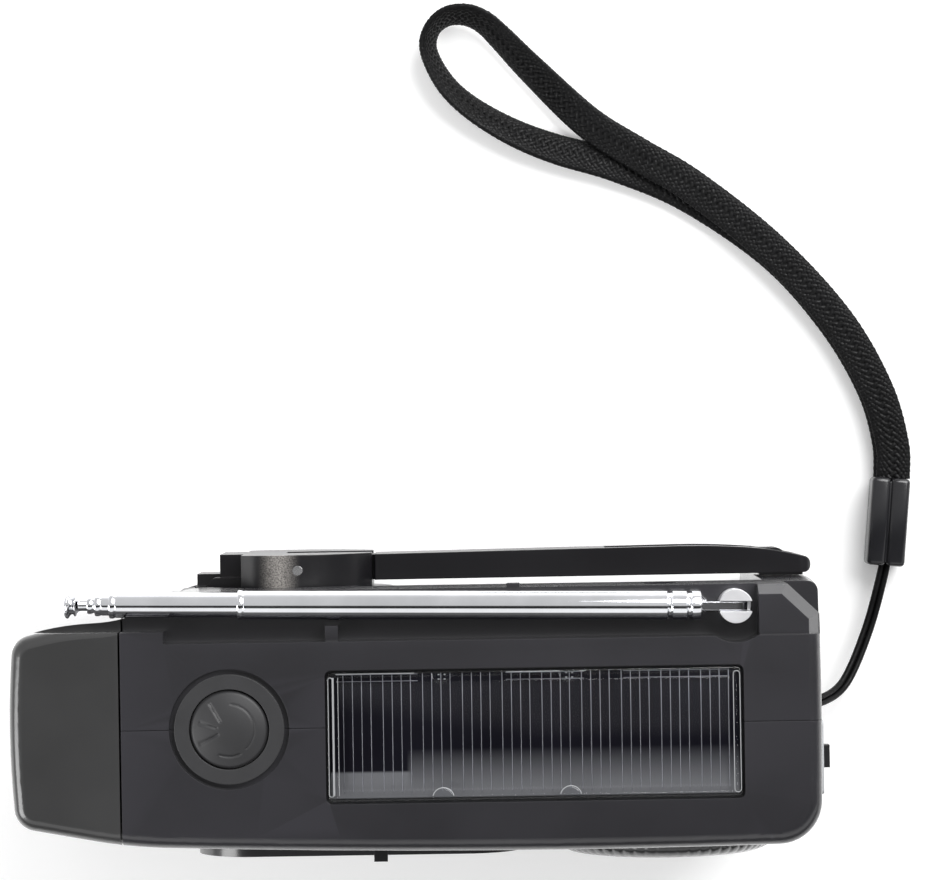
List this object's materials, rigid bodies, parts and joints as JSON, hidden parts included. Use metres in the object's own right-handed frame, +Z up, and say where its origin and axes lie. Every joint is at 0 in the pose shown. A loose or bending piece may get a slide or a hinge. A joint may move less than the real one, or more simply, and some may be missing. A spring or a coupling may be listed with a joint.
{
  "type": "emergency radio",
  "caption": "Hand-cranked emergency radio with a solar window, torch end, telescopic antenna and braided wrist strap.",
  "frame": {"origin": "centre of the case's base face, on the surface it stands on", "axes": "+X along the case from the torch end to the strap end, +Y from the dial side to the crank side, +Z up"},
  "size_m": [0.1464, 0.1413, 0.0611],
  "materials": {
    "antenna_chrome": "polished",
    "slider_plastic": "satin",
    "part_metal": "plain",
    "cell_wrap": "shrink wrap",
    "button_rubber": "soft matte",
    "steel": "zinc plated",
    "crank_plastic": "satin",
    "grip_plastic": "satin, grooved",
    "gear_plastic": "moulded",
    "copper_wire": "enamelled winding",
    "ferrite": "sintered",
    "case_plastic": "fine satin texture",
    "plate_plastic": "moulded",
    "stem_plastic": "satin",
    "circuit_board": "solder mask",
    "head_plastic": "fine satin texture",
    "clear_lens": "polished",
    "reflector": "bright",
    "cover_rubber": "soft matte",
    "solar_cell": "dark blue cells",
    "clear_cover": "clear",
    "speaker_paper": "pressed paper cone",
    "front_plastic": "satin",
    "clamp_plastic": "glossy",
    "strap_braid": "woven braid",
    "pale_plate": "satin",
    "capacitor_case": "moulded"
  },
  "bodies": {
    "case": {"front_shell": "case_plastic", "rear_shell": "case_plastic", "lamp_head": "head_plastic", "lamp_lens": "clear_lens", "lamp_reflector": "reflector", "lamp_board": "circuit_board", "button_ring": "button_rubber", "torch_switch": "part_metal", "solar_cells": "solar_cell", "solar_cover": "clear_cover", "speaker_grille": "front_plastic", "speaker": "speaker_paper", "tuning_capacitor": "capacitor_case", "band_switch": "part_metal", "switch_plate": "pale_plate", "side_switch": "part_metal", "usb_c_socket": "part_metal", "usb_a_socket": "part_metal", "main_board": "circuit_board", "ferrite_rod": "ferrite", "ferrite_coil": "copper_wire", "battery": "cell_wrap", "gear_plate": "plate_plastic", "stator": "copper_wire", "case_screws": "steel", "strap_post": "steel"},
    "torch_button": {"torch_button": "button_rubber"},
    "tuning_dial": {"tuning_dial": "front_plastic"},
    "band_slider": {"band_slider": "slider_plastic"},
    "side_slider": {"side_slider": "slider_plastic"},
    "port_cover": {"port_cover": "cover_rubber"},
    "crank_hub": {"crank_hub": "crank_plastic", "drive_gear": "gear_plastic", "hinge_pin": "steel"},
    "crank_arm": {"crank_arm": "crank_plastic", "knob_pin": "steel"},
    "knob_stem": {"knob_stem": "stem_plastic"},
    "crank_grip": {"crank_grip": "grip_plastic"},
    "idler_gear": {"idler_gear": "gear_plastic"},
    "rotor": {"rotor": "steel"},
    "antenna_base": {"antenna_swivel": "antenna_chrome", "pivot_screw": "steel", "antenna_pin": "antenna_chrome"},
    "antenna_root": {"antenna_root": "antenna_chrome"},
    "antenna_section_1": {"antenna_section_1": "antenna_chrome"},
    "antenna_section_2": {"antenna_section_2": "antenna_chrome"},
    "antenna_section_3": {"antenna_section_3": "antenna_chrome"},
    "antenna_tip": {"antenna_tip": "antenna_chrome"},
    "strap": {"strap_cord": "strap_braid", "strap_clamp": "clamp_plastic", "strap_webbing": "strap_braid"}
  },
  "joints": [
    {"name": "torch_press", "type": "slide", "parent": "case", "child": "torch_button", "axis": [0, 0, -1], "range_m": [0, 0.0008], "stiffness_N_per_m": 800, "springref_m": -0.0005},
    {"name": "dial_turn", "type": "hinge", "parent": "case", "child": "tuning_dial", "pos_m": [0.0394, -0.018, 0.03], "axis": [0, 1, 0], "range_deg": [-135, 135]},
    {"name": "band_slide", "type": "slide", "parent": "case", "child": "band_slider", "axis": [1, 0, 0], "range_m": [-0.0031, 0.0031]},
    {"name": "side_slide", "type": "slide", "parent": "case", "child": "side_slider", "axis": [0, 1, 0], "range_m": [-0.0023, 0.0023]},
    {"name": "port_open", "type": "hinge", "parent": "case", "child": "port_cover", "pos_m": [0.0632, -0.0019, 0.033], "axis": [0, 0, 1], "range_deg": [0, 70]},
    {"name": "crank_spin", "type": "hinge", "parent": "case", "child": "crank_hub", "pos_m": [-0.0205, 0.02, 0.03], "axis": [0, 1, 0], "continuous": true},
    {"name": "crank_fold", "type": "hinge", "parent": "crank_hub", "child": "crank_arm", "pos_m": [-0.0183, 0.0236, 0.03], "axis": [0, 0, 1], "range_deg": [0, 95]},
    {"name": "knob_fold", "type": "hinge", "parent": "crank_arm", "child": "knob_stem", "pos_m": [0.0576, 0.0237, 0.03], "axis": [0, 0, -1], "range_deg": [0, 90]},
    {"name": "grip_spin", "type": "hinge", "parent": "knob_stem", "child": "crank_grip", "pos_m": [0.044, 0.0237, 0.03], "axis": [1, 0, 0], "continuous": true},
    {"name": "idler_spin", "type": "hinge", "parent": "case", "child": "idler_gear", "pos_m": [-0.03072, 0.012, 0.04022], "axis": [0, 1, 0], "continuous": true},
    {"name": "rotor_spin", "type": "hinge", "parent": "case", "child": "rotor", "pos_m": [-0.03072, 0.008, 0.02817], "axis": [0, 1, 0], "continuous": true},
    {"name": "antenna_swivel", "type": "hinge", "parent": "case", "child": "antenna_base", "pos_m": [0.0494, 0.0176, 0.054], "axis": [0, 0, -1], "range_deg": [0, 95]},
    {"name": "antenna_tilt", "type": "hinge", "parent": "antenna_base", "child": "antenna_root", "pos_m": [0.0494, 0.0176, 0.0572], "axis": [0.0162, 0.9999, 0], "range_deg": [0, 90]},
    {"name": "pull_1", "type": "slide", "parent": "antenna_root", "child": "antenna_section_1", "axis": [-0.9999, 0.0162, 0], "range_m": [0, 0.058]},
    {"name": "pull_2", "type": "slide", "parent": "antenna_section_1", "child": "antenna_section_2", "axis": [-0.9999, 0.0162, 0], "range_m": [0, 0.078]},
    {"name": "pull_3", "type": "slide", "parent": "antenna_section_2", "child": "antenna_section_3", "axis": [-0.9999, 0.0162, 0], "range_m": [0, 0.078]},
    {"name": "pull_4", "type": "slide", "parent": "antenna_section_3", "child": "antenna_tip", "axis": [-0.9999, 0.0162, 0], "range_m": [0, 0.078]},
    {"name": "strap_swing", "type": "hinge", "parent": "case", "child": "strap", "pos_m": [0.0614, 0, 0.014], "axis": [0, 0, 1], "range_deg": [-40, 25]}
  ],
  "couplings": [
    {"joint": "idler_spin", "follows": "crank_spin", "ratio": -3},
    {"joint": "rotor_spin", "follows": "crank_spin", "ratio": 9}
  ]
}
